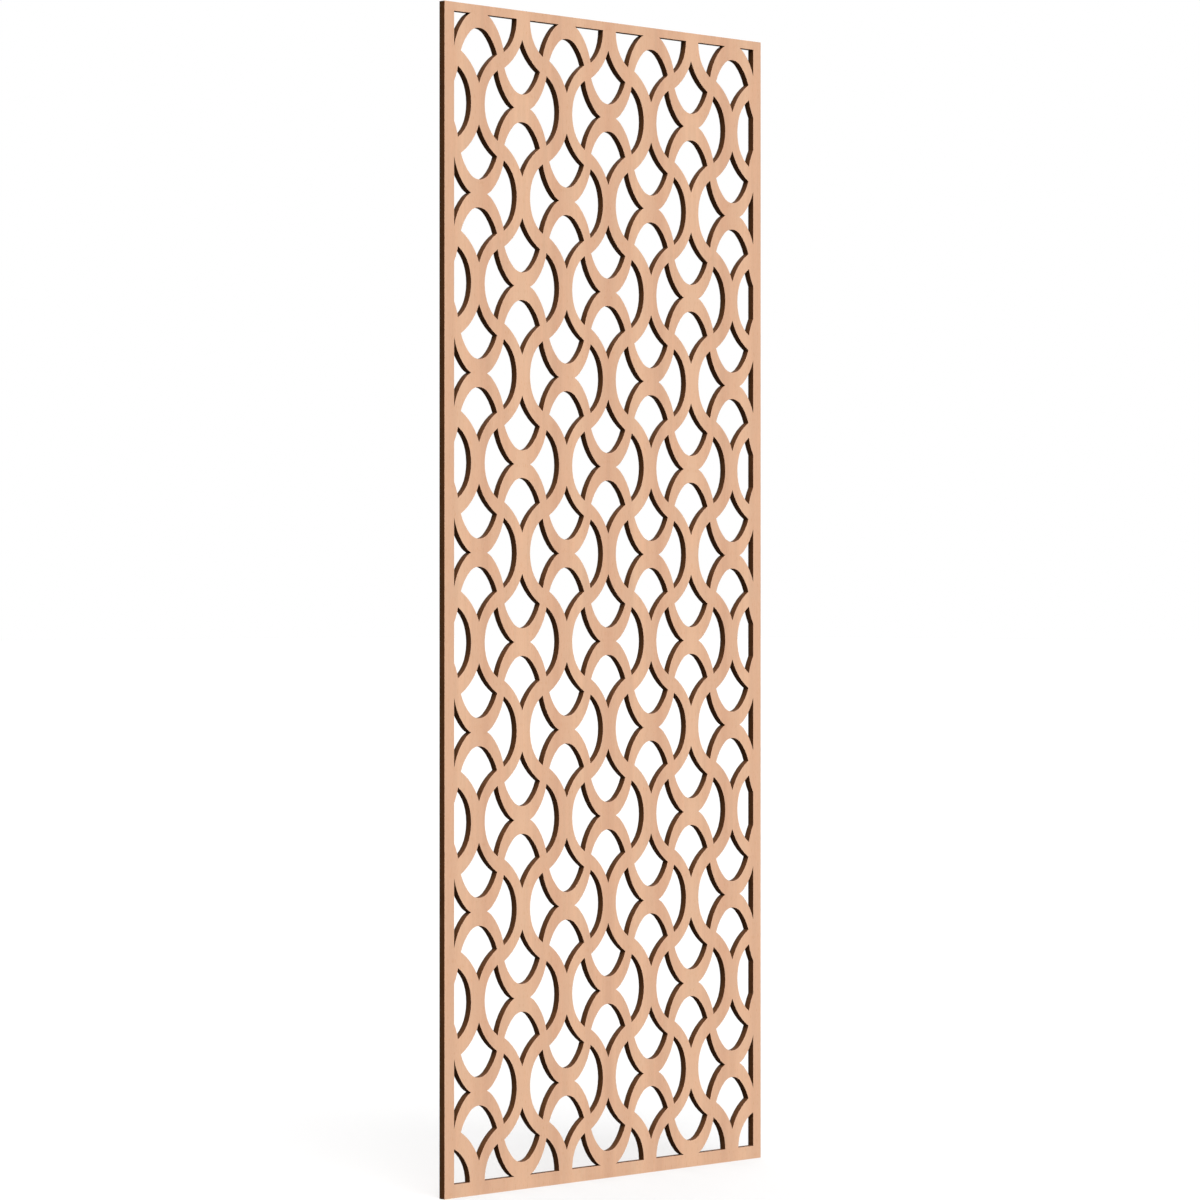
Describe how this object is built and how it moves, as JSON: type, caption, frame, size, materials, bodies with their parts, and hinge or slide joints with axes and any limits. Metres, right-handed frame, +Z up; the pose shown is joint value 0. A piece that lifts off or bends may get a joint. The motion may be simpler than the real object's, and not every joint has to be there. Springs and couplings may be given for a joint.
{
  "type": "fretwork wood panel",
  "caption": "Tall thin rectangular fretwork panel of veneered plywood, cut through with a staggered lattice of rings and arches inside a plain narrow border, for screens, dividers and walls.",
  "frame": {"origin": "middle of the bottom edge, half way through the thickness", "axes": "+Z up along the height, X across the width, -Y out of the front face, +Y out of the back face"},
  "size_m": [0.5936, 0.0096, 1.5335],
  "materials": {
    "face_veneer": "satin",
    "back_veneer": "satin",
    "crossband": "matte",
    "core": "matte"
  },
  "bodies": {
    "root": {"front_veneer_outer_left": "face_veneer", "front_veneer_inner_left": "face_veneer", "front_veneer_inner_right": "face_veneer", "front_veneer_outer_right": "face_veneer", "front_crossband_ply": "crossband", "core_ply": "core", "back_crossband_ply": "crossband", "back_veneer_outer_left": "back_veneer", "back_veneer_inner_left": "back_veneer", "back_veneer_inner_right": "back_veneer", "back_veneer_outer_right": "back_veneer"}
  },
  "joints": []
}
